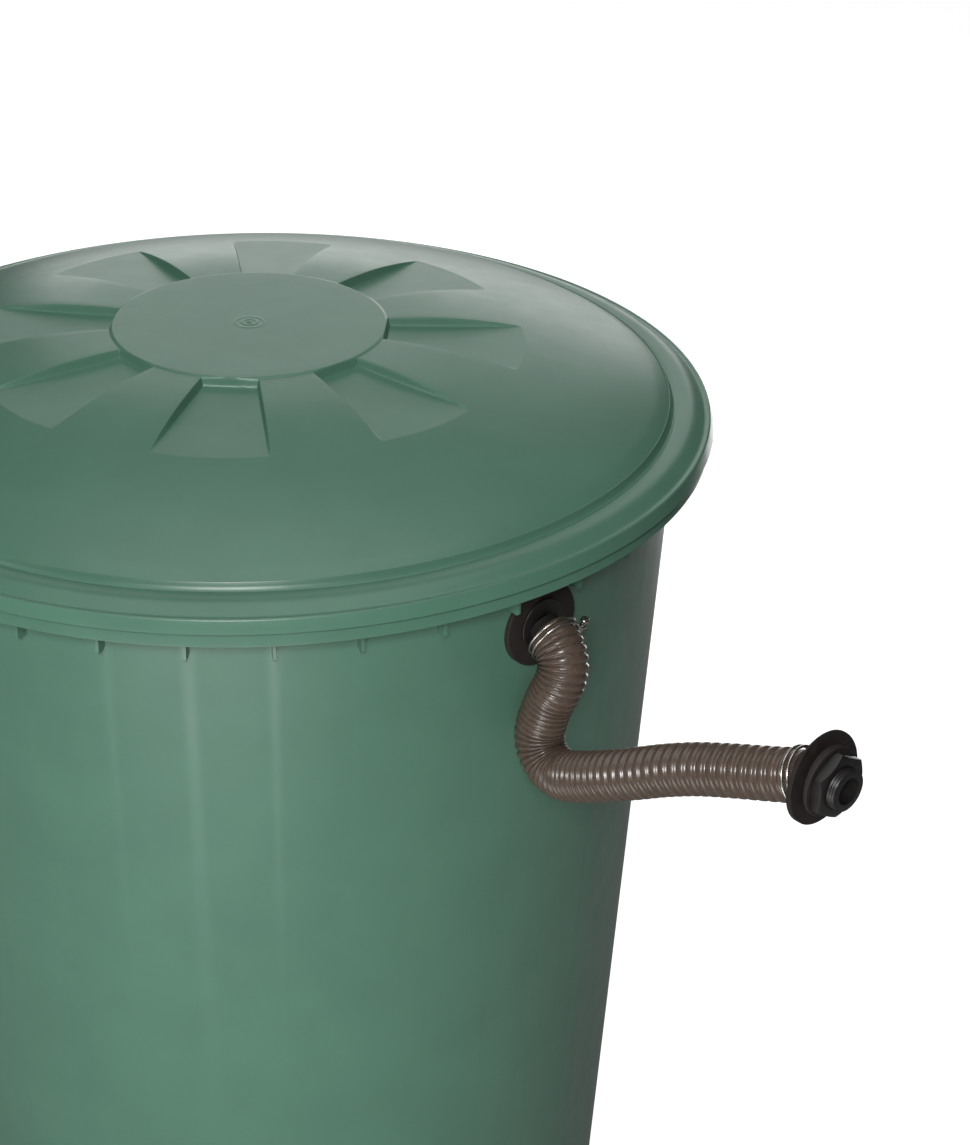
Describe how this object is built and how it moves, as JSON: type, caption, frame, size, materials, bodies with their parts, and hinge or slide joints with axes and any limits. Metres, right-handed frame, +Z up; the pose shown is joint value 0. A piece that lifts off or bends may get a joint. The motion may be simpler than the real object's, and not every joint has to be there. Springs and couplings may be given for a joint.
{
  "type": "rain barrel",
  "caption": "Round tapered plastic rain barrel with a domed lift-off lid, a low lever tap and a bellows hose that links it to a second barrel.",
  "frame": {"origin": "centre of the tub's foot ring, on the ground", "axes": "+Z up along the barrel's axis of symmetry; -Y is the tap side; the link fitting is at 45 degrees from -Y towards +X"},
  "size_m": [0.9002, 0.9002, 0.9142],
  "materials": {
    "green_pp": "semi-gloss moulded polypropylene, dark green",
    "hose_brown": "semi-gloss extruded bellows hose, grey brown",
    "black_pp": "moulded black plastic with a fine satin face",
    "rubber": "dull black moulded rubber",
    "steel": "drawn zinc-plated steel wire and screws",
    "tap_black": "smooth moulded black acetal"
  },
  "bodies": {
    "barrel": {"tub": "green_pp", "link_hose": "hose_brown", "tap_body": "tap_black", "tap_seal": "rubber", "tap_inner_washer": "rubber", "tap_lock_nut": "black_pp", "link_seal": "rubber", "link_inner_washer": "rubber", "link_lock_nut": "black_pp", "link_nozzle": "black_pp", "link_clamp_wire": "steel", "link_clamp_nut": "steel", "link_clamp_screw": "steel", "far_seal": "rubber", "far_inner_washer": "rubber", "far_lock_nut": "black_pp", "far_nozzle": "black_pp", "far_clamp_wire": "steel", "far_clamp_nut": "steel", "far_clamp_screw": "steel"},
    "lid": {"lid": "green_pp"},
    "tap_lever": {"tap_plug": "tap_black", "tap_handle": "tap_black", "tap_handle_screw": "steel"}
  },
  "joints": [
    {"name": "lid_lift", "type": "slide", "parent": "barrel", "child": "lid", "axis": [0, 0, 1], "range_m": [0, 0.12]},
    {"name": "tap_turn", "type": "hinge", "parent": "barrel", "child": "tap_lever", "pos_m": [0, -0.36812, 0.11], "axis": [0, 0, 1], "range_deg": [0, 90]}
  ]
}
